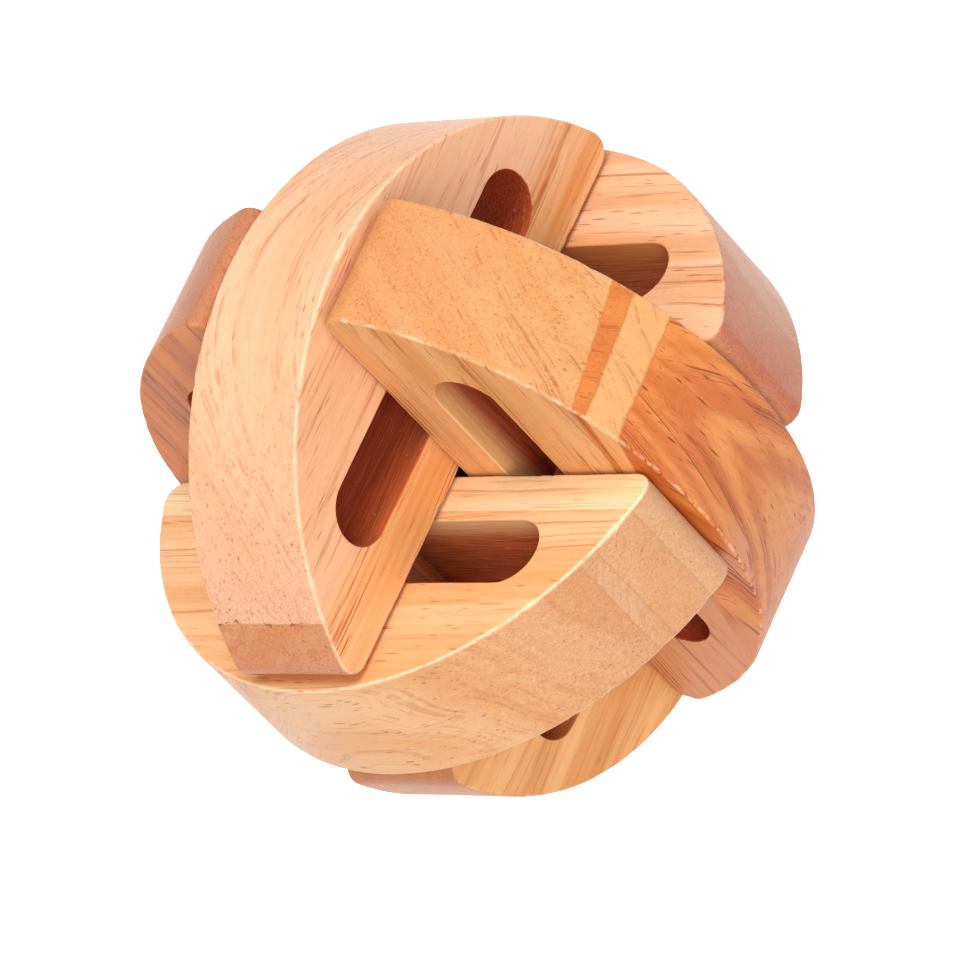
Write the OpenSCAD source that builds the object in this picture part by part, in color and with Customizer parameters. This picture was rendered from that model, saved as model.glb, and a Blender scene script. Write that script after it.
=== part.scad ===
// Six-piece wooden burr puzzle, assembled into a ball.
//
// Six slotted half-moons make three upright discs that cross at the ball's
// centre. Each half-moon's flat edge straddles the next pair. Three of them
// carry two pins each, which pass through the slots of that pair. The key has
// a slot that is open at one end, so it slides off its pin first.
//
// Origin at the ball's centre, +Z up. Sizes are in millimetres.

/* [Half-moons] */
// Radius of the curved rim
rim_r = 40; // [38:0.5:48]
// Thickness of a half-moon
piece_t = 17; // [14:0.5:18]
// Distance from the ball's centre to the rim's centre, away from the rim
rim_drop = 1.2; // [0:0.1:2]
// Gap between a flat edge and the pair that it straddles
seat_gap = 0.4; // [0.2:0.1:0.8]
// Rounding of the corner between the rim and the flat edge
corner_r = 2.5; // [1:0.5:4]
// Eased edge all round a half-moon, measured along each face
ease = 0.6; // [0.2:0.1:1]

/* [Slots] */
// Width of a slot
slot_w = 8.5; // [7:0.5:9]
// Length of a closed slot, over its round ends
slot_len = 51; // [40:1:52]
// Wood between the flat edge and the slot
slot_wall = 6.3; // [5.5:0.1:7]

/* [Pins] */
// Clearance between a pin and each side of a slot
pin_play = 0.25; // [0.1:0.05:0.5]
// Depth of the blind hole that holds a pin
socket_depth = 4.5; // [3:0.5:4.5]
// How far a pin's free end stops short of the far face
pin_short = 0.6; // [0.2:0.1:2]
// Eased edge at a pin's free end
pin_ease = 0.5; // [0.2:0.1:1]

/* [Hidden] */

$fn = 144;

// Distance from the ball's centre to every flat edge
flat_at = piece_t / 2 + seat_gap;
// Distance from the ball's centre to every slot's centre line
slot_at = flat_at + slot_wall + slot_w / 2;
// Centre of a slot's round end, from the middle of the slot
slot_end = slot_len / 2 - slot_w / 2;
// Pin radius, which follows the slot
pin_r = slot_w / 2 - pin_play;
// Pin ends, from the ball's centre
pin_root = flat_at + socket_depth;
pin_tip = -(piece_t / 2 - pin_short);
// Centre of a corner's rounding, along the flat edge and out from the ball's centre
corner_w = flat_at + corner_r;
corner_u = sqrt(pow(rim_r - corner_r, 2) - pow(corner_w + rim_drop, 2));
// How far a cut runs past the wood
past = 1;

// Turns a half-moon that bulges upward, with its flat edge along X, into place
module upward() {
    children();
}

module rightward() {
    rotate([90, 0, 90]) children();
}

module backward() {
    rotate([-90, -90, 0]) children();
}

// Turns a half-moon over its flat edge, to the opposite side of the ball
module opposite() {
    rotate([180, 0, 0]) children();
}

// Disc with eased edges, its axis along Y, centred on the rim's centre
module disc() {
    half = piece_t / 2;
    translate([0, 0, -rim_drop])
        rotate([90, 0, 0])
            rotate_extrude()
                polygon([
                    [0, -half],
                    [rim_r - ease, -half],
                    [rim_r, -half + ease],
                    [rim_r, half - ease],
                    [rim_r - ease, half],
                    [0, half]
                ]);
}

// Everything on the far side of the flat edge, with its two long edges eased
module below_flat() {
    side = 2 * (rim_r + past);
    translate([-side / 2, -side / 2, flat_at - side])
        cube([side, side, side]);
    for (face = [-1, 1])
        translate([0, face * piece_t / 2, flat_at])
            rotate([45, 0, 0])
                cube([side, ease * sqrt(2), ease * sqrt(2)], center = true);
}

// Wood outside the rounded corner at one end (1 or -1) of the flat edge
module corner_waste(end) {
    // Direction in which the corner's rounding meets the rim
    rim_turn = atan2(corner_w + rim_drop, corner_u);
    reach = 2 * corner_r + past;
    difference() {
        rotate([90, 0, 0])
            linear_extrude(height = piece_t + 2 * past, center = true)
                polygon([
                    [end * corner_u, flat_at - past],
                    [end * (corner_u + reach), flat_at - past],
                    [
                        end * (corner_u + reach * cos(rim_turn)),
                        corner_w + reach * sin(rim_turn)
                    ],
                    [end * corner_u, corner_w]
                ]);
        translate([end * corner_u, 0, corner_w])
            rotate([90, 0, 0])
                cylinder(h = piece_t + 4 * past, r = corner_r, center = true);
    }
}

// Round-ended cut along X between two places, with eased mouths on both faces
module slot_cut(from_u, to_u) {
    length = to_u - from_u;
    translate([from_u, 0, slot_at - slot_w / 2])
        translate([0, -piece_t / 2 - past, 0])
            cube([length, piece_t + 2 * past, slot_w]);
    for (u = [from_u, to_u])
        translate([u, 0, slot_at])
            rotate([90, 0, 0])
                cylinder(h = piece_t + 2 * past, r = slot_w / 2, center = true);
    for (face = [-1, 1])
        slot_mouth(from_u, to_u, face);
}

// Eased mouth of a slot on one broad face (1 or -1)
module slot_mouth(from_u, to_u, face) {
    for (u = [from_u, to_u])
        translate([u, face * (piece_t / 2 + ease), slot_at])
            rotate([face * 90, 0, 0])
                cylinder(h = 2 * ease, r1 = slot_w / 2 + 2 * ease, r2 = slot_w / 2);
    for (side = [-1, 1])
        translate([(from_u + to_u) / 2, face * piece_t / 2, slot_at + side * slot_w / 2])
            rotate([45, 0, 0])
                cube([to_u - from_u, ease * sqrt(2), ease * sqrt(2)], center = true);
}

// Half-moon without its slot: bulges upward, flat edge along X
module blank() {
    difference() {
        disc();
        below_flat();
        for (end = [-1, 1])
            corner_waste(end);
    }
}

module closed_half_moon() {
    difference() {
        blank();
        slot_cut(-slot_end, slot_end);
    }
}

// The key's slot runs out through the rim at its -X end
module open_half_moon() {
    difference() {
        blank();
        slot_cut(-rim_r - slot_w, slot_end);
    }
}

// Places of the two pins along the flat edge
module at_pins() {
    for (end = [-1, 1])
        translate([end * slot_at, 0, 0]) children();
}

module pinned_half_moon() {
    difference() {
        closed_half_moon();
        at_pins()
            translate([0, 0, flat_at - past])
                cylinder(h = socket_depth + past, r = pin_r);
    }
}

// Pin at one end (1 or -1) of a half-moon's flat edge
module pin(end) {
    translate([end * slot_at, 0, pin_tip]) {
        cylinder(h = pin_ease, r1 = pin_r - pin_ease, r2 = pin_r);
        translate([0, 0, pin_ease])
            cylinder(h = pin_root - pin_tip - pin_ease, r = pin_r);
    }
}

module top_half_moon() {
    color([0.90, 0.66, 0.44]) upward() pinned_half_moon();
}

module right_half_moon() {
    color([0.95, 0.76, 0.52]) rightward() pinned_half_moon();
}

module back_half_moon() {
    color([0.88, 0.58, 0.34]) backward() pinned_half_moon();
}

module bottom_half_moon() {
    color([0.85, 0.60, 0.40]) upward() opposite() closed_half_moon();
}

module left_key() {
    color([0.87, 0.63, 0.44]) rightward() opposite() open_half_moon();
}

module front_half_moon() {
    color([0.80, 0.54, 0.38]) backward() opposite() closed_half_moon();
}

module top_pin_right() {
    color([0.68, 0.38, 0.22]) upward() pin(1);
}

module top_pin_left() {
    color([0.68, 0.38, 0.22]) upward() pin(-1);
}

module right_pin_back() {
    color([0.68, 0.38, 0.22]) rightward() pin(1);
}

module right_pin_front() {
    color([0.68, 0.38, 0.22]) rightward() pin(-1);
}

module back_pin_top() {
    color([0.68, 0.38, 0.22]) backward() pin(1);
}

module back_pin_bottom() {
    color([0.68, 0.38, 0.22]) backward() pin(-1);
}

top_half_moon();
right_half_moon();
back_half_moon();
bottom_half_moon();
left_key();
front_half_moon();
top_pin_right();
top_pin_left();
right_pin_back();
right_pin_front();
back_pin_top();
back_pin_bottom();
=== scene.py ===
"""Wooden burr puzzle: six slotted rubberwood half-moons that interlock into a ball.

Every half-moon is modelled in its own axes, u along its flat edge, v through its thickness and w out from
the ball's centre, and is then turned into its place. The wood is a solid texture in those same axes, so its
grain runs along the flat edge on the faces and comes out as end grain on the rim.
"""

import math
import random

import bmesh
import bpy
from mathutils import Matrix, Vector, noise


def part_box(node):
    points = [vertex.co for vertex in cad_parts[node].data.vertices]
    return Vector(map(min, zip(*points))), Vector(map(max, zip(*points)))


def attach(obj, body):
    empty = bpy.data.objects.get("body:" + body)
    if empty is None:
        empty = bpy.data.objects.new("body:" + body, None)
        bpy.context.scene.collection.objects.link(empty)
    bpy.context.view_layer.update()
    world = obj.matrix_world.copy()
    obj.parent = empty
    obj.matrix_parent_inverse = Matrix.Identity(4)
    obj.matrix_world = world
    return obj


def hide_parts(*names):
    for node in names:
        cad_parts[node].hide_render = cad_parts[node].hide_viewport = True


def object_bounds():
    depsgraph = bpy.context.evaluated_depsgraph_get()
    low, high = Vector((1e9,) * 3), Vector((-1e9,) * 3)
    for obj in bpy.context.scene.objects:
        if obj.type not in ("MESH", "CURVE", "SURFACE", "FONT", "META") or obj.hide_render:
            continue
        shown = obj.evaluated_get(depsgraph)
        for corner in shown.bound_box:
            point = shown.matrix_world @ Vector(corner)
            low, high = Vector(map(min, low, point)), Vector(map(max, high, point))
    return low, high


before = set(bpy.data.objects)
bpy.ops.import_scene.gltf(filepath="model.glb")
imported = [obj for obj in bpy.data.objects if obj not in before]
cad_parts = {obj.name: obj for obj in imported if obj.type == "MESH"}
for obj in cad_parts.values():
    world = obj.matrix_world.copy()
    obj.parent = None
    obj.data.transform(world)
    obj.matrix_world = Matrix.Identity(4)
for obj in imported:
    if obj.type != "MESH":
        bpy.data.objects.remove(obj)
cad_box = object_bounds()

MM = 0.001

# ---------------------------------------------------------------- sizes, from the frame and the design

low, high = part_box("top_half_moon")
HALF_T = (high.y - low.y) / 2
FLAT_AT = low.z
CROWN_AT = high.z
RIM_R = 40 * MM
RIM_DROP = RIM_R - CROWN_AT
CORNER_R = 2.5 * MM
SLOT_W = 8.5 * MM
SLOT_LEN = 51 * MM
SLOT_WALL = 6.3 * MM
SLOT_AT = FLAT_AT + SLOT_WALL + SLOT_W / 2
SLOT_END = SLOT_LEN / 2 - SLOT_W / 2
FLOOR_AT = cad_box[0].z

# ---------------------------------------------------------------- outlines


def arc(centre, radius, start, stop, spacing):
    """Points (u, w), and outward normals, along an arc between two angles in degrees, ends included."""
    count = max(3, math.ceil(abs(math.radians(stop - start)) * radius / spacing))
    out = []
    for i in range(count + 1):
        a = math.radians(start + (stop - start) * i / count)
        normal = Vector((math.cos(a), math.sin(a)))
        out.append((Vector(centre) + radius * normal, normal))
    return out


def line(start, stop, normal, spacing):
    """Points along a straight stretch, ends left out."""
    start = Vector(start)
    stop = Vector(stop)
    count = max(2, math.ceil((stop - start).length / spacing))
    return [(start.lerp(stop, i / count), Vector(normal)) for i in range(1, count)]


def rim_outline(spacing):
    """The D shape of a half-moon, anticlockwise from the right end of its flat edge."""
    corner_w = FLAT_AT + CORNER_R
    corner_u = math.sqrt((RIM_R - CORNER_R) ** 2 - (corner_w + RIM_DROP) ** 2)
    turn = math.degrees(math.atan2(corner_w + RIM_DROP, corner_u))
    fine = spacing / 2
    points = arc((corner_u, corner_w), CORNER_R, -90, turn, fine)
    points += arc((0, -RIM_DROP), RIM_R, turn, 180 - turn, spacing)[1:-1]
    points += arc((-corner_u, corner_w), CORNER_R, 180 - turn, 270, fine)
    points += line((-corner_u, FLAT_AT), (corner_u, FLAT_AT), (0, -1), spacing)
    return points


def slot_outline(spacing):
    """A closed slot, anticlockwise, with normals that point into the wood."""
    top = SLOT_AT + SLOT_W / 2
    bottom = SLOT_AT - SLOT_W / 2
    points = arc((SLOT_END, SLOT_AT), SLOT_W / 2, -90, 90, spacing)
    points += line((SLOT_END, top), (-SLOT_END, top), (0, 1), spacing)
    points += arc((-SLOT_END, SLOT_AT), SLOT_W / 2, 90, 270, spacing)
    points += line((-SLOT_END, bottom), (SLOT_END, bottom), (0, -1), spacing)
    return points


def key_outline(spacing):
    """The key's outline: its slot runs out through the rim at the -u end, so slot and rim are one loop."""
    rim = rim_outline(spacing)
    top = SLOT_AT + SLOT_W / 2
    bottom = SLOT_AT - SLOT_W / 2
    first = next(i for i, (p, _) in enumerate(rim) if p.x < 0 and p.y < top)
    last = next(i for i, (p, _) in enumerate(rim) if p.x < 0 and p.y < bottom)
    mouth_top = -math.sqrt(RIM_R**2 - (top + RIM_DROP) ** 2)
    mouth_bottom = -math.sqrt(RIM_R**2 - (bottom + RIM_DROP) ** 2)
    slot = line((mouth_top, top), (SLOT_END, top), (0, -1), spacing)
    closed_end = arc((SLOT_END, SLOT_AT), SLOT_W / 2, 90, -90, spacing)
    slot += [(p, -n) for p, n in closed_end]
    slot += line((SLOT_END, bottom), (mouth_bottom, bottom), (0, 1), spacing)
    return rim[: first - 1] + slot + rim[last + 1 :]


# ---------------------------------------------------------------- half-moon meshes


class Wear:
    """How an arris is rounded over along its length: gently uneven, with a few chips."""

    def __init__(self, seed, radius, uneven, chips, length):
        self.seed = seed
        self.radius = radius
        self.uneven = uneven
        dice = random.Random(seed)
        self.chips = [
            (dice.uniform(0, length), dice.uniform(0.35, 1.1) * MM, dice.uniform(0.25, 0.8))
            for _ in range(chips)
        ]

    def at(self, s):
        """Rounding radius at a distance s along the edge."""
        rough = noise.noise(Vector((s / (5 * MM), self.seed * 7.3, 0)))
        fine = noise.noise(Vector((s / (0.9 * MM), self.seed * 3.1, 5)))
        size = self.radius * (1 + self.uneven * (0.7 * rough + 0.5 * fine))
        for place, reach, depth in self.chips:
            near = max(0.0, 1 - abs(s - place) / reach)
            size += self.radius * depth * near
        return max(0.15 * MM, size)


BEVEL_STEPS = 5
WALL_STEPS = 12
# Distance between the points of an outline
SPACING = 0.7 * MM
# Rounding of a worn arris, and how many chips there are along a rim and along a slot
WORN_R = 0.45 * MM
RIM_CHIPS = 16
SLOT_CHIPS = 5
# How hollow the sanded walls are
HOLLOW = 0.05 * MM
# A slot's arris is rounded less than the rim's, by this share
SLOT_CRISPNESS = 0.5


def section(radius):
    """Half-section of an eased edge: (inset, height, share of pale edge line) from the broad face round onto
    the wall. The pale line is partly wear and partly painted highlight.
    """
    out = []
    for i in range(BEVEL_STEPS + 1):
        a = math.radians(90 * i / BEVEL_STEPS)
        # share of the pale edge line, peaking halfway round the edge where it catches the light: partly
        # wear, partly painted highlight
        wear_and_highlight = math.sin(2 * a) ** 4
        out.append((radius * (1 - math.sin(a)), HALF_T - radius * (1 - math.cos(a)), wear_and_highlight))
    return out


def sweep(bm, layers, outline, wear_front, wear_back, inward, in_slot):
    """Sweeps the eased wall of one closed outline. Returns the vertices where it meets each broad face.

    inward is 1 where the outline's normals point out of the wood, and -1 where they point into it. in_slot
    tells whether a point of the outline is on a slot's wall.
    """
    wear_and_highlight_layer, inner_layer = layers
    travelled = 0.0
    columns = []
    previous = outline[-1][0]
    for point, normal in outline:
        travelled += (point - previous).length
        previous = point
        column = []
        inner = in_slot(point)
        crisp = SLOT_CRISPNESS if inner else 1.0
        front = section(wear_front.at(travelled) * crisp)
        back = section(wear_back.at(travelled) * crisp)
        heights = [(inset, v, wear_and_highlight) for inset, v, wear_and_highlight in front]
        top_v = front[-1][1]
        low_v = -back[-1][1]
        for i in range(1, WALL_STEPS):
            heights.append((0.0, top_v + (low_v - top_v) * i / WALL_STEPS, 0.0))
        heights += [(inset, -v, wear_and_highlight) for inset, v, wear_and_highlight in reversed(back)]
        for inset, v, wear_and_highlight in heights:
            place = point - normal * inset * inward
            # planing and hand sanding leave the walls very slightly hollow
            ripple = noise.noise(Vector((place.x, v, place.y)) / (9 * MM))
            hollow = HOLLOW * (0.5 + 0.5 * ripple) * (1 - (v / HALF_T) ** 2)
            place = place - normal * hollow * inward * (0 if inner else 1)
            vertex = bm.verts.new((place.x, v, place.y))
            vertex[wear_and_highlight_layer] = 0.0 if inner else wear_and_highlight
            vertex[inner_layer] = 1.0 if inner and inset < 0.1 * MM else 0.0
            column.append(vertex)
        columns.append(column)
    for i, column in enumerate(columns):
        after = columns[(i + 1) % len(columns)]
        for j in range(len(column) - 1):
            bm.faces.new((column[j], column[j + 1], after[j + 1], after[j]))
    return [c[0] for c in columns], [c[-1] for c in columns]


def loop_edges(bm, ring):
    return [bm.edges.get((ring[i], ring[(i + 1) % len(ring)])) for i in range(len(ring))]


def always(point):
    return True


def never(point):
    return False


def on_key_slot(point):
    """Whether a point (u, w) of the key's outline is on the wall of its open slot."""
    on_rim = (point + Vector((0, RIM_DROP))).length > RIM_R - 0.2 * MM
    return abs(point.y - SLOT_AT) < SLOT_W / 2 + 0.02 * MM and not on_rim


def half_moon_mesh(name, seed, key=False):
    """A half-moon bulging towards +w, in its own axes (u, v, w), with every edge eased and worn."""
    bm = bmesh.new()
    # per-vertex shares of the pale edge line, partly wear and partly painted highlight, and of the slot
    # walls, which get painted shade
    layers = (
        bm.verts.layers.float.new("wear_and_highlight"),
        bm.verts.layers.float.new("inner"),
    )
    outer = key_outline(SPACING) if key else rim_outline(SPACING)
    length = 2 * math.pi * RIM_R
    front = Wear(seed, WORN_R, 0.4, RIM_CHIPS, length)
    back = Wear(seed + 1, WORN_R, 0.4, RIM_CHIPS, length)
    rings = [sweep(bm, layers, outer, front, back, 1, on_key_slot if key else never)]
    if not key:
        slot_front = Wear(seed + 2, WORN_R, 0.3, SLOT_CHIPS, 2 * SLOT_LEN)
        slot_back = Wear(seed + 3, WORN_R, 0.3, SLOT_CHIPS, 2 * SLOT_LEN)
        rings.append(sweep(bm, layers, slot_outline(SPACING), slot_front, slot_back, -1, always))
    for side in (0, 1):
        edges = []
        for pair in rings:
            edges += loop_edges(bm, pair[side])
        bmesh.ops.triangle_fill(bm, edges=edges, use_beauty=True, use_dissolve=False)
    bmesh.ops.recalc_face_normals(bm, faces=bm.faces)
    mesh = bpy.data.meshes.new(name)
    bm.to_mesh(mesh)
    bm.free()
    for polygon in mesh.polygons:
        polygon.use_smooth = True
    return mesh


# ---------------------------------------------------------------- node helpers


class Nodes:
    """Short names for the node types that the wood is made from."""

    def __init__(self, material):
        material.use_nodes = True
        self.tree = material.node_tree
        self.tree.nodes.clear()

    def add(self, kind, **settings):
        node = self.tree.nodes.new(kind)
        for key, value in settings.items():
            setattr(node, key, value)
        return node

    def put(self, socket, value):
        if isinstance(value, bpy.types.NodeSocket):
            self.tree.links.new(value, socket)
        elif value is not None:
            socket.default_value = value

    def math(self, operation, a, b=None, clamp=False):
        node = self.add("ShaderNodeMath", operation=operation, use_clamp=clamp)
        for socket, value in zip(node.inputs, (a, b)):
            self.put(socket, value)
        return node.outputs[0]

    def vector(self, operation, a, b=None, scale=None):
        node = self.add("ShaderNodeVectorMath", operation=operation)
        self.put(node.inputs[0], a)
        if b is not None:
            self.put(node.inputs[1], b)
        if scale is not None:
            self.put(node.inputs["Scale"], scale)
        return node.outputs["Value" if operation == "LENGTH" else "Vector"]

    def split(self, vector):
        node = self.add("ShaderNodeSeparateXYZ")
        self.put(node.inputs[0], vector)
        return node.outputs

    def join(self, x, y, z):
        node = self.add("ShaderNodeCombineXYZ")
        for socket, value in zip(node.inputs, (x, y, z)):
            self.put(socket, value)
        return node.outputs[0]

    def noise(self, vector, scale=1.0, detail=2.0, roughness=0.5, dimensions="3D", w=None, colour=False):
        node = self.add("ShaderNodeTexNoise", noise_dimensions=dimensions)
        if vector is not None:
            self.put(node.inputs["Vector"], vector)
        if w is not None:
            self.put(node.inputs["W"], w)
        self.put(node.inputs["Scale"], scale)
        self.put(node.inputs["Detail"], detail)
        self.put(node.inputs["Roughness"], roughness)
        return node.outputs["Color" if colour else "Fac"]

    def spots(self, vector, size, share, soft):
        """Scattered round spots of uneven size, in a share of the cells that the space is cut into."""
        node = self.add("ShaderNodeTexVoronoi", feature="F1")
        self.put(node.inputs["Vector"], vector)
        self.put(node.inputs["Scale"], 1.0)
        luck, fortune, _ = self.split(node.outputs["Color"])
        reach = self.math("MULTIPLY", self.math("ADD", fortune, 0.35), size)
        near = self.fit(self.math("DIVIDE", node.outputs["Distance"], reach), 1 - soft, 1.0, 1.0, 0.0)
        return self.math("MULTIPLY", near, self.math("LESS_THAN", luck, share))

    def fit(self, value, low, high, to_low=0.0, to_high=1.0, smooth=True):
        node = self.add("ShaderNodeMapRange", interpolation_type="SMOOTHSTEP" if smooth else "LINEAR")
        for socket, number in zip(node.inputs, (value, low, high, to_low, to_high)):
            self.put(socket, number)
        return node.outputs[0]

    def mix(self, factor, a, b, blend="MIX"):
        node = self.add("ShaderNodeMix", data_type="RGBA", blend_type=blend)
        self.put(node.inputs[0], factor)
        self.put(node.inputs[6], a)
        self.put(node.inputs[7], b)
        return node.outputs[2]

    def mix_value(self, factor, a, b):
        node = self.add("ShaderNodeMix", data_type="FLOAT")
        self.put(node.inputs[0], factor)
        self.put(node.inputs[2], a)
        self.put(node.inputs[3], b)
        return node.outputs[0]

    def attribute(self, name):
        return self.add("ShaderNodeAttribute", attribute_name=name).outputs["Fac"]


def rgb(code):
    """A linear colour from an sRGB hex code."""
    out = []
    for i in (0, 2, 4):
        c = int(code[i : i + 2], 16) / 255
        out.append(c / 12.92 if c <= 0.04045 else ((c + 0.055) / 1.055) ** 2.4)
    return (*out, 1.0)


# ---------------------------------------------------------------- rubberwood


class Strip:
    """One of the strips that a half-moon is edge-glued from, up to the height top, w in mm.

    climb and lean are how much that height rises for each mm of u and of v, so a strip may taper. pale and
    deep colour its growth bands, and end its end grain. pith is where the tree's heart lies, in (v, w).
    figure is how strongly the bands and lines show. tilt and bow slant and bend them along the board: a bow
    of 1 bends them as much as the rim. vessels is how strongly the dark vessels show.
    """

    def __init__(
        self, top, pale, deep, end, pith, figure=1.0, tilt=0.0, bow=0.0, vessels=1.0, climb=0.0, lean=0.0
    ):
        self.top = top
        self.climb = climb
        self.lean = lean
        self.pale = rgb(pale)
        self.deep = rgb(deep)
        self.end = rgb(end)
        self.pith = pith
        self.figure = figure
        self.tilt = tilt
        self.bow = bow
        self.vessels = vessels


class Grain:
    """Where the wood's growth bands, fibres and glue lines run, in a half-moon's own axes, in mm."""

    def __init__(self, n, strips, seed):
        self.n = n
        self.strips = strips
        place = n.add("ShaderNodeTexCoord")
        self.point = n.vector("SCALE", place.outputs["Object"], scale=1 / MM)
        self.u, self.v, self.w = n.split(self.point)
        dice = random.Random(seed)
        shift = [dice.uniform(-90, 90) for _ in range(3)]
        self.moved = n.vector("ADD", self.point, tuple(shift))

        # 0 where the surface runs along the grain, 1 where it cuts straight across
        facing = n.split(place.outputs["Normal"])
        self.endness = n.math("POWER", n.math("ABSOLUTE", facing[0]), 1.6)

        # the edges between strips wander by a tenth of a millimetre
        wander = n.math("MULTIPLY", n.math("SUBTRACT", n.noise(self.moved, 0.5), 0.5), 0.3)
        height = n.math("ADD", self.w, wander)
        # height above each glue line
        self.above = []
        for strip in strips[:-1]:
            glue_line = n.math("ADD", n.math("MULTIPLY", self.u, strip.climb), strip.top)
            glue_line = n.math("ADD", glue_line, n.math("MULTIPLY", self.v, strip.lean))
            self.above.append(n.math("SUBTRACT", height, glue_line))
        self.steps = [n.fit(above, -0.10, 0.10) for above in self.above]

        # slow waves, and a finer raggedness, in the run of the fibres
        slow = n.noise(self.stretch(self.moved, 0.016, 0.06), 1.0, 2.0, colour=True)
        fast = n.noise(self.stretch(self.moved, 0.16, 0.5), 1.0, 2.0, colour=True)
        waved = n.vector("ADD", self.point, self.sway(slow, 5.0))
        waved = n.vector("ADD", waved, self.sway(fast, 0.3))
        _, wave_v, wave_w = n.split(waved)
        self.flow = n.vector("ADD", waved, tuple(shift))

        # distance from the pith, with the slant and bend of the board
        pith_v = self.by_strip([s.pith[0] for s in strips])
        pith_w = self.by_strip([s.pith[1] for s in strips])
        bow = n.math("MULTIPLY", n.math("MULTIPLY", self.u, self.u), 1 / (2 * RIM_R / MM))
        bowed = self.by_strip([s.bow for s in strips])
        bent_w = n.math("ADD", wave_w, n.math("MULTIPLY", bow, bowed))
        beside = n.math("SUBTRACT", wave_v, pith_v)
        across = n.join(0.0, beside, n.math("SUBTRACT", bent_w, pith_w))
        # 1 in the middle of a bowed board, where its growth bands turn back across the grain
        self.apex = n.math("MULTIPLY", bowed, n.fit(n.math("ABSOLUTE", beside), 1.0, 5.0, 1.0, 0.0))
        slant = n.math("MULTIPLY", self.u, self.by_strip([s.tilt for s in strips]))
        ring = n.math("ADD", n.vector("LENGTH", across), slant)
        self.ring_shift = seed * 13.7
        self.ring = n.math("ADD", ring, self.ring_shift)

        self.fibre = n.noise(self.stretch(self.flow, 0.07, 3.4), 1.0, 4.0, 0.66)
        self.cloud = n.noise(self.stretch(self.moved, 0.03, 0.07), 1.0, 2.0, 0.5)

    def stretch(self, vector, along, across):
        """Scales a place so that a pattern drawn there comes out 1/along mm long and 1/across mm wide."""
        return self.n.vector("MULTIPLY", vector, (along, across, across))

    def sway(self, colour, reach):
        off_centre = self.n.vector("SUBTRACT", colour, (0.5, 0.5, 0.5))
        return self.n.vector("MULTIPLY", off_centre, (0.0, reach, reach))

    def by_strip(self, values):
        """The value of the strip that the point lies in."""
        out = values[0]
        for step, value in zip(self.steps, values[1:]):
            number = isinstance(value, (int, float))
            out = self.n.mix_value(step, out, value) if number else self.n.mix(step, out, value)
        return out


def growth_bands(g):
    """Soft pale and deep bands, turning to the end-grain colour where the rim cuts across the grain."""
    n = g.n
    bands = n.noise(None, 0.20, 2.0, 0.6, "1D", w=g.ring)
    streaks = n.noise(g.stretch(g.flow, 0.03, 0.7), 1.0, 2.0, 0.6)
    tone = n.math("ADD", n.math("MULTIPLY", bands, 0.9), n.math("MULTIPLY", streaks, 0.45))
    tone = n.fit(n.math("ADD", tone, n.math("MULTIPLY", g.cloud, 0.3)), 0.62, 1.04)
    tone = n.math("MULTIPLY", tone, g.by_strip([s.figure for s in g.strips]), clamp=True)
    pale = g.by_strip([s.pale for s in g.strips])
    deep = g.by_strip([s.deep for s in g.strips])
    end = g.by_strip([s.end for s in g.strips])
    return n.mix(n.math("MULTIPLY", g.endness, 0.82), n.mix(tone, pale, deep), end)


def sapwood(g, colour, reach, tint):
    """Pinker wood outside the growth ring at a distance reach from the pith, and all across the -u end."""
    n = g.n
    outside = n.fit(n.math("SUBTRACT", g.ring, g.ring_shift), reach - 0.2, reach + 0.2)
    outside = n.math("MULTIPLY", outside, n.fit(g.u, -3.0, -9.0))
    outside = n.math("MAXIMUM", outside, n.fit(g.u, -20.0, -24.0))
    return n.mix(n.math("MULTIPLY", outside, 0.8), colour, rgb(tint))


def figure_lines(g, colour, line_colour, lined):
    """Thin darker lines that come and go along the grain, and longer dashes between them."""
    n = g.n
    fine_bands = n.noise(None, 0.62, 3.0, 0.6, "1D", w=g.ring)
    crossing = n.math("ABSOLUTE", n.math("SUBTRACT", fine_bands, 0.5))
    lines = n.fit(crossing, 0.0, 0.03, 1.0, 0.0)
    fades = n.fit(n.noise(g.stretch(g.flow, 0.035, 0.5), 1.0, 3.0, 0.65), 0.44, 0.58)
    figure = g.by_strip([s.figure for s in g.strips])
    strength = n.math("MULTIPLY", figure, n.mix_value(g.endness, 0.62 * lined, 0.20))
    fades = n.math("MULTIPLY", fades, n.math("SUBTRACT", 1.0, n.math("MULTIPLY", g.apex, 0.85)))
    lines = n.math("MULTIPLY", n.math("MULTIPLY", lines, fades), strength, clamp=True)
    dashes = n.spots(g.stretch(g.flow, 0.065, 1.15), 0.20, 0.9, 0.65)
    dashes = n.math("MULTIPLY", dashes, strength, clamp=True)
    return n.mix(n.math("MAXIMUM", lines, dashes), colour, rgb(line_colour))


def fibres(g, colour):
    """Hair-fine lighter and darker streaks, which mottle the end grain, and pale flecks."""
    n = g.n
    hair = n.fit(g.fibre, 0.3, 0.7, 0.945, 1.04, smooth=False)
    mottle = n.noise(g.stretch(g.moved, 0.8, 2.1), 1.0, 4.0, 0.75)
    mottle = n.fit(mottle, 0.30, 0.70, 0.89, 1.08, smooth=False)
    grit = n.fit(n.noise(g.moved, 3.6, 2.0, 0.8), 0.34, 0.66, 0.90, 1.08, smooth=False)
    mottle = n.math("MULTIPLY", mottle, grit)
    shade = n.math("MULTIPLY", hair, n.mix_value(n.fit(g.endness, 0.0, 0.6, 0.3, 1.0), 1.0, mottle))
    colour = n.mix(1.0, colour, n.join(shade, shade, shade), "MULTIPLY")
    flecks = n.spots(n.vector("SCALE", g.moved, scale=1.9), 0.2, 0.3, 0.9)
    return n.mix(n.math("MULTIPLY", flecks, n.mix_value(g.endness, 0.1, 0.4)), colour, rgb("FFE6CC"))


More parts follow.
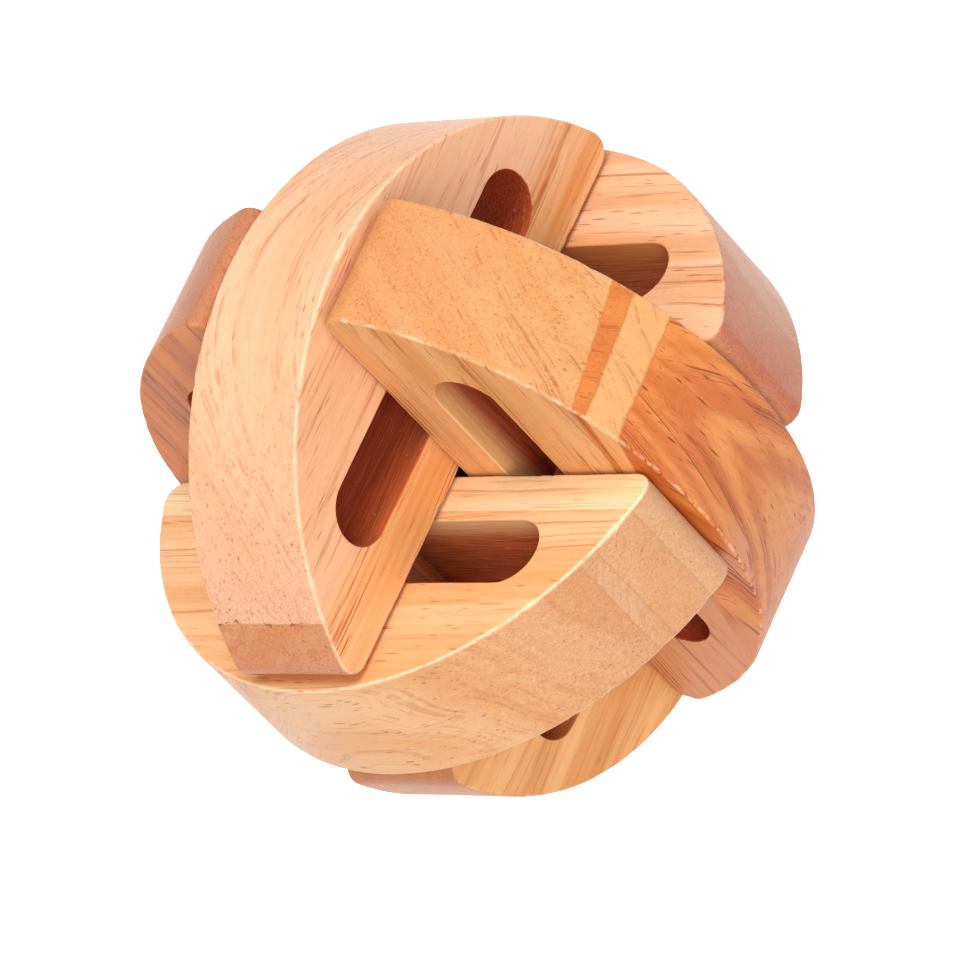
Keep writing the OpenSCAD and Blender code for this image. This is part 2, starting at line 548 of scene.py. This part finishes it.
def vessels(g, speckled, pores):
    """Strength of the short dark vessels, and of the fine pores in the end grain, about so many to a mm."""
    n = g.n
    many = g.by_strip([s.vessels for s in g.strips])
    clumps = n.fit(g.cloud, 0.34, 0.60, 0.25, 1.0)
    short = n.spots(g.stretch(g.flow, 0.15, 1.85), 0.20, 1.0, 0.7)
    short = n.math("MULTIPLY", n.math("MULTIPLY", short, clumps), many, clamp=True)
    fine = n.spots(g.stretch(g.flow, 0.36, pores), 0.36, 0.9, 0.9)
    patches = n.fit(n.noise(g.moved, 0.11, 2.0), 0.38, 0.60, 0.25, 1.0)
    strength = n.mix_value(g.endness, 0.2 * speckled, speckled)
    return short, n.math("MULTIPLY", n.math("MULTIPLY", fine, patches), strength, clamp=True)


def glue_lines(g, colour, crack):
    """The seams between strips, hair-thin where crack is 0 and with ragged dark gaps towards 1."""
    n = g.n
    for above in g.above:
        near = n.math("ABSOLUTE", above)
        seam = n.math("MULTIPLY", n.fit(near, 0.04, 0.15, 1.0, 0.0), 0.22)
        colour = n.mix(seam, colour, rgb("A8683C"))
        if crack:
            ragged = n.noise(g.stretch(g.moved, 0.9, 0.45), 1.0, 3.0, 0.6)
            offset = n.math("MULTIPLY", n.math("SUBTRACT", ragged, 0.5), 2.2)
            apart = n.math("ABSOLUTE", n.math("ADD", above, offset))
            gap = n.math("MULTIPLY", n.fit(apart, 0.04, 0.2, 1.0, 0.0), n.fit(g.endness, 0.55, 0.75))
            gap = n.math("MULTIPLY", gap, n.fit(n.noise(g.moved, 0.45, 2.0), 0.46, 0.56))
            colour = n.mix(n.math("MULTIPLY", gap, crack), colour, rgb("5A2A18"))
    return colour


def slot_walls(g, colour, inner, shade_and_burnish_colour, mouth_light_colour, mouth_painted_light):
    """Slot walls darker deep inside, partly burnished wood and partly painted shade of the recess, with a
    little dust, and paler at their mouths near the +u end, as painted light falling in.
    """
    n = g.n
    deep = rgb(shade_and_burnish_colour)
    # the dark, streaked inside of a slot: painted shade of the recess, partly burnished wood
    lined = n.mix(n.fit(g.fibre, 0.36, 0.66), deep, n.mix(0.5, deep, rgb("3A1206")))
    mouth = n.mix(n.fit(g.fibre, 0.30, 0.70), rgb(mouth_light_colour), n.mix(0.25, rgb(mouth_light_colour), deep))
    dust = n.spots(g.stretch(g.moved, 1.1, 1.3), 0.2, 0.35, 0.9)
    lined = n.mix(n.math("MULTIPLY", dust, 0.35), lined, rgb("F0D4B4"))
    # painted light: paler towards a mouth, and only towards +u, where light falls into the slot
    painted_light_mask = n.math("MULTIPLY", n.fit(n.math("ABSOLUTE", g.v), 4.0, 8.0), mouth_painted_light)
    painted_light_mask = n.math("MULTIPLY", painted_light_mask, n.fit(g.u, -12.0, 8.0))
    return n.mix(inner, colour, n.mix(painted_light_mask, lined, mouth))


def worn_and_highlit_arrises(g, colour, strength, broken):
    """Paler arrises, partly worn bare wood and partly a painted highlight along the rounded edges, in more
    and shorter pieces as broken goes from 0 to 1.
    """
    n = g.n
    edge_patchiness = n.noise(g.moved, 0.55, 3.0, 0.75)
    left = n.fit(edge_patchiness, 0.30 + 0.22 * broken, 0.42 + 0.22 * broken)
    wear_and_highlight = n.math("MULTIPLY", n.attribute("wear_and_highlight"), left)
    # cream along the arrises: painted highlight, partly worn bare wood
    return n.mix(n.math("MULTIPLY", wear_and_highlight, strength), colour, rgb("FFE3C2"))


# How strongly the lacquer reflects, how thick its gloss is and how soft
SHEEN = 0.27
COAT = 0.08
COAT_ROUGHNESS = 0.28
# Depth of the grain's relief
RELIEF = 0.08 * MM


def lacquer(g, colour, rough, relief):
    """Satin lacquer over the wood, with the grain telegraphing through."""
    n = g.n
    bump = n.add("ShaderNodeBump")
    n.put(bump.inputs["Height"], relief)
    n.put(bump.inputs["Strength"], 0.5)
    n.put(bump.inputs["Distance"], RELIEF)
    shader = n.add("ShaderNodeBsdfPrincipled")
    n.put(shader.inputs["Base Color"], colour)
    n.put(shader.inputs["Roughness"], rough)
    n.put(shader.inputs["Normal"], bump.outputs[0])
    shader.inputs["Specular IOR Level"].default_value = SHEEN
    shader.inputs["Coat Weight"].default_value = COAT
    shader.inputs["Coat Roughness"].default_value = COAT_ROUGHNESS
    out = n.add("ShaderNodeOutputMaterial")
    n.put(out.inputs["Surface"], shader.outputs[0])


def rubberwood(
    name,
    strips,
    seed,
    line,
    lined=1.0,
    speckled=0.35,
    pores=2.6,
    crack=0.0,
    sap=None,
    inner="D06034",
    mouth="C98E52",
    mouth_painted_light=0.4,
    arris=0.6,
    broken=0.5,
):
    """Lacquered rubberwood of one half-moon, its grain along u.

    line colours the figure's lines, and lined is how strongly they show. speckled and pores are the strength
    and number of the end grain's pores, crack the strength of gaps in the glue lines, and sap the reach and
    tint of the pinker wood. inner colours a slot's wall darker, partly burnished wood and partly painted
    shade of the recess. mouth colours its mouths paler with painted light falling in, and
    mouth_painted_light is how strongly. arris is how pale the arrises are, partly worn bare wood and partly
    painted highlight, and broken how interrupted.
    """
    material = bpy.data.materials.new(name)
    n = Nodes(material)
    g = Grain(n, strips, seed)
    colour = growth_bands(g)
    if sap:
        colour = sapwood(g, colour, *sap)
    colour = figure_lines(g, colour, line, lined)
    colour = fibres(g, colour)
    short, fine = vessels(g, speckled, pores)
    colour = n.mix(n.math("MULTIPLY", short, 0.6), colour, rgb("A8542A"))
    colour = n.mix(fine, colour, rgb("9A5430"))
    colour = glue_lines(g, colour, crack)
    in_slot = n.math("GREATER_THAN", n.attribute("inner"), 0.5)
    # slot walls get painted shade deep inside and painted light at their mouths
    colour = slot_walls(g, colour, in_slot, inner, mouth, mouth_painted_light)
    colour = worn_and_highlit_arrises(g, colour, arris, broken)

    rough = n.fit(g.fibre, 0.3, 0.7, 0.42, 0.52, smooth=False)
    rough = n.math("ADD", rough, n.math("MULTIPLY", short, 0.2))
    rough = n.math("ADD", rough, n.math("MULTIPLY", in_slot, 0.05), clamp=True)
    relief = n.math("SUBTRACT", n.math("MULTIPLY", g.fibre, 0.4), n.math("MULTIPLY", fine, 1.2))
    lacquer(g, colour, rough, n.math("SUBTRACT", relief, short))
    return material


# ---------------------------------------------------------------- the six half-moons

# Turns that take a half-moon, modelled bulging upward, into its place
UPWARD = Matrix.Identity(4)
RIGHTWARD = Matrix.Rotation(math.radians(90), 4, "Z") @ Matrix.Rotation(math.radians(90), 4, "X")
BACKWARD = Matrix.Rotation(math.radians(-90), 4, "Y") @ Matrix.Rotation(math.radians(-90), 4, "X")
OPPOSITE = Matrix.Rotation(math.radians(180), 4, "X")

# In look, inner is a slot's darker wall, partly painted shade, mouth and its strength its paler mouths,
# painted light, and arris the pale arrises, partly painted highlight
HALF_MOONS = {
    "top_half_moon": dict(
        body="locked_three",
        slot="wood_top",
        turn=UPWARD,
        seed=3,
        look=dict(
            line="BC5420", lined=1.3, crack=0.75, mouth_painted_light=0.12, arris=0.42, broken=0.42, speckled=0.75,
            pores=1.6,
        ),
        strips=[
            Strip(17.2, "F6C28C", "E69A58", "CA7A52", (30, -60), 1.15, 0.02, 0.0, 0.8),
            Strip(99, "F4C098", "E8A878", "E7AC8A", (-70, -40), 0.6, 0.05, 0.0, 1.5),
        ],
    ),
    "right_half_moon": dict(
        body="locked_three",
        slot="wood_right",
        turn=RIGHTWARD,
        seed=11,
        look=dict(
            line="C67C40", lined=1.1, mouth_painted_light=0.85, mouth="EAC490", inner="DA7A44", arris=0.75, broken=0.2,
            speckled=0.8,
        ),
        strips=[
            Strip(14.0, "FAD9AC", "F2C58E", "CE9064", (50, -50), 0.75, -0.03, 0.0, 0.3),
            Strip(19.4, "F4C090", "EBA96C", "CE9064", (-40, -60), 1.0, 0.03, 0.0, 0.5),
            Strip(21.4, "F4C090", "EBA96C", "C8906A", (-40, -60), 1.0, 0.03, 0.0, 0.5),
            Strip(99, "F2BC8A", "E6A060", "C68660", (18, -36), 0.8, 0.05, 0.0, 2.0),
        ],
    ),
    "back_half_moon": dict(
        body="locked_three",
        slot="wood_back",
        turn=BACKWARD,
        seed=23,
        look=dict(
            line="923F14", lined=1.4, mouth_painted_light=0.95, mouth="F4BE82", inner="B04C2C", arris=0.5, broken=0.8,
            speckled=0.7, sap=(7.25, "DC9268"),
        ),
        strips=[
            Strip(30.0, "ECB178", "D89456", "D2864A", (60, -45), 0.8, 0.02, 0.0, 1.2, 0.15, 0.075),
            Strip(31.2, "DC8440", "CC7230", "D67A38", (-60, -30), 0.7, 0.0, 0.0, 0.9, 0.165, 0.03),
            Strip(32.6, "EEAC70", "E19A58", "E6A262", (40, -50), 0.5, 0.0, 0.0, 0.5, 0.25, 0.01),
            Strip(99, "E8954C", "CE6E2E", "DA7A3E", (-1.3, 33), 1.25, 0.24, 1.0, 2.6),
        ],
    ),
    "bottom_half_moon": dict(
        body="bottom_slider",
        slot="wood_bottom",
        turn=UPWARD @ OPPOSITE,
        seed=37,
        look=dict(line="C2642C", lined=0.7, mouth_painted_light=0.6, mouth="B8804A", arris=0.3, broken=0.6),
        strips=[
            Strip(21.0, "F6BA76", "E69A54", "B46B46", (40, -70), 0.9, 0.03, 0.0, 0.6),
            Strip(99, "F7BC7A", "E4924A", "B46B46", (-25, -30), 0.9, -0.05, 0.0, 0.6),
        ],
    ),
    "left_key": dict(
        body="key",
        slot="wood_key",
        turn=RIGHTWARD @ OPPOSITE,
        seed=41,
        look=dict(
            line="B86A34", lined=1.15, mouth_painted_light=0.9, mouth="E2A468", inner="F0A06A", arris=0.35, broken=0.5,
            speckled=0.8,
        ),
        strips=[
            Strip(20.0, "F2BC92", "E4A476", "B45232", (60, -60), 1.0, 0.03, 0.0, 1.6),
            Strip(99, "F3C29A", "E6A674", "B45232", (-30, -50), 1.0, 0.04, 0.0, 1.8),
        ],
    ),
    "front_half_moon": dict(
        body="front_slider",
        slot="wood_front",
        turn=BACKWARD @ OPPOSITE,
        seed=53,
        look=dict(line="6E3218", lined=1.4, mouth_painted_light=0.2, arris=0.12, broken=0.7, speckled=0.7),
        strips=[
            Strip(17.0, "DE843E", "C66C30", "C0805E", (50, -40), 0.9, 0.03, 0.0, 1.6),
            Strip(99, "E0863E", "C87032", "C68866", (-40, -60), 0.9, -0.04, 0.0, 1.8),
        ],
    ),
}


def build_half_moon(node, body, slot, turn, seed, look, strips):
    mesh = half_moon_mesh(node + "_wood", seed, key=node == "left_key")
    piece = bpy.data.objects.new(node + "_wood", mesh)
    bpy.context.scene.collection.objects.link(piece)
    piece.matrix_world = turn
    mesh.materials.append(rubberwood(slot, strips, seed, **look))
    normals = piece.modifiers.new("flat faces stay flat", "WEIGHTED_NORMAL")
    normals.mode = "FACE_AREA"
    normals.weight = 80
    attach(piece, body)
    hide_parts(node)


for node, facts in HALF_MOONS.items():
    build_half_moon(node, **facts)

# ---------------------------------------------------------------- pins


def dowel(name, axis, seed):
    """Dark, oiled dowel, grain along its axis (0, 1 or 2)."""
    material = bpy.data.materials.new(name)
    n = Nodes(material)
    place = n.add("ShaderNodeTexCoord")
    point = n.vector("SCALE", place.outputs["Object"], scale=1 / MM)
    along = [1.6, 1.6, 1.6]
    along[axis] = 0.08
    moved = n.vector("ADD", point, (seed * 3.1, seed * 5.7, seed * 1.9))
    fibre = n.noise(n.vector("MULTIPLY", moved, tuple(along)), 1.0, 4.0, 0.6)
    colour = n.mix(n.fit(fibre, 0.3, 0.7), rgb("B46236"), rgb("84401E"))
    bump = n.add("ShaderNodeBump")
    n.put(bump.inputs["Height"], fibre)
    n.put(bump.inputs["Strength"], 0.3)
    n.put(bump.inputs["Distance"], RELIEF)
    shader = n.add("ShaderNodeBsdfPrincipled")
    n.put(shader.inputs["Base Color"], colour)
    n.put(shader.inputs["Roughness"], n.fit(fibre, 0.3, 0.7, 0.55, 0.68))
    n.put(shader.inputs["Normal"], bump.outputs[0])
    out = n.add("ShaderNodeOutputMaterial")
    n.put(out.inputs["Surface"], shader.outputs[0])
    return material


PIN_AXES = {"top": 2, "right": 0, "back": 1}
for count, (node, thing) in enumerate(sorted(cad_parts.items())):
    if "_pin_" in node:
        thing.data.materials.clear()
        thing.data.materials.append(dowel(node, PIN_AXES[node.split("_")[0]], count))

# ---------------------------------------------------------------- floor, light and camera


def white_floor():
    material = bpy.data.materials.new("floor")
    n = Nodes(material)
    shader = n.add("ShaderNodeBsdfPrincipled")
    shader.inputs["Base Color"].default_value = (0.97, 0.97, 0.97, 1)
    shader.inputs["Roughness"].default_value = 0.9
    shader.inputs["Emission Color"].default_value = (1, 1, 1, 1)
    shader.inputs["Emission Strength"].default_value = 0.75
    out = n.add("ShaderNodeOutputMaterial")
    n.put(out.inputs["Surface"], shader.outputs[0])
    mesh = bpy.data.meshes.new("floor")
    # half the floor's width, in metres, far past the picture
    reach = 4.0
    corners = [(-reach, -reach), (reach, -reach), (reach, reach), (-reach, reach)]
    mesh.from_pydata([(x, y, FLOOR_AT) for x, y in corners], [], [(0, 1, 2, 3)])
    mesh.materials.append(material)
    floor = bpy.data.objects.new("floor", mesh)
    bpy.context.scene.collection.objects.link(floor)
    # the ball is lit by the studio alone, and not from below by the floor
    floor.visible_diffuse = False


def area_light(name, place, size, power, colour=(1, 1, 1)):
    """Square soft light aimed at the ball's centre."""
    lamp = bpy.data.lights.new(name, "AREA")
    lamp.size = size
    lamp.energy = power
    lamp.color = colour
    thing = bpy.data.objects.new(name, lamp)
    bpy.context.scene.collection.objects.link(thing)
    thing.location = place
    thing.rotation_mode = "QUATERNION"
    thing.rotation_quaternion = (-Vector(place)).to_track_quat("-Z", "Y")


def studio():
    world = bpy.data.worlds.new("studio")
    bpy.context.scene.world = world
    world.use_nodes = True
    background = world.node_tree.nodes["Background"]
    background.inputs["Color"].default_value = (1, 1, 1, 1)
    background.inputs["Strength"].default_value = 0.5
    area_light("overhead", (-0.04, 0.14, 0.75), 0.5, 4.0)
    area_light("window", (0.50, 0.55, 0.28), 0.6, 4.2, (1.0, 0.97, 0.93))


def camera():
    """A long lens from above and behind the right side, rolled so that the top half-moon leans left."""
    azimuth = math.radians(147.32)
    elevation = math.radians(36.49)
    roll = math.radians(-43.9)
    distance = 0.79875
    # how far the lens is aimed to the right of the ball's centre, and below it
    aim_right = 0.42 * MM
    aim_down = 2.72 * MM
    back = Vector((
        math.sin(azimuth) * math.cos(elevation),
        -math.cos(azimuth) * math.cos(elevation),
        math.sin(elevation),
    ))
    upright = (-back).to_track_quat("-Z", "Y")
    turned = upright.to_matrix().to_4x4() @ Matrix.Rotation(roll, 4, "Z")
    right = turned.col[0].to_3d()
    up = turned.col[1].to_3d()
    data = bpy.data.cameras.new("camera")
    data.sensor_width = 36
    data.lens = 258.02
    data.clip_start = 0.05
    data.clip_end = 20
    data.dof.use_dof = False
    thing = bpy.data.objects.new("camera", data)
    bpy.context.scene.collection.objects.link(thing)
    turned.translation = back * distance + right * aim_right - up * aim_down
    thing.matrix_world = turned
    bpy.context.scene.camera = thing


white_floor()
studio()
camera()
bpy.context.scene.view_settings.view_transform = "Standard"
